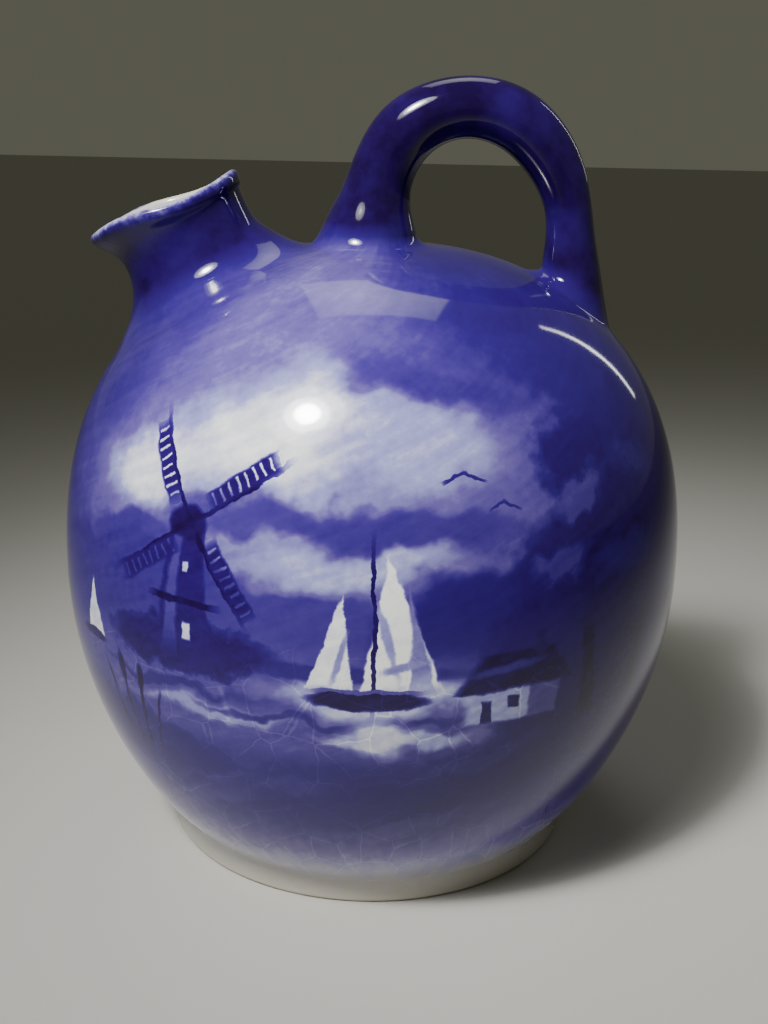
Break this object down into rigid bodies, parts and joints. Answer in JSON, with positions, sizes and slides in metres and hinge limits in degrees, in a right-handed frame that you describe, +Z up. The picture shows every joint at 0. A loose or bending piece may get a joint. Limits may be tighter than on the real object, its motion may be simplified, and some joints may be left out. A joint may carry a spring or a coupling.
{
  "type": "jug",
  "caption": "Round-bodied glazed earthenware jug with a short tilted pouring spout and a loop handle, made to hold and pour a drink.",
  "frame": {"origin": "middle of the foot's underside, on the surface the jug stands on", "axes": "+Z up through the body, the spout towards -X and the handle towards +X"},
  "size_m": [0.164, 0.164, 0.201],
  "materials": {
    "cobalt_glaze": "underglaze cobalt blue under a clear high-gloss glaze"
  },
  "bodies": {
    "root": {"jug": "cobalt_glaze"}
  },
  "joints": []
}
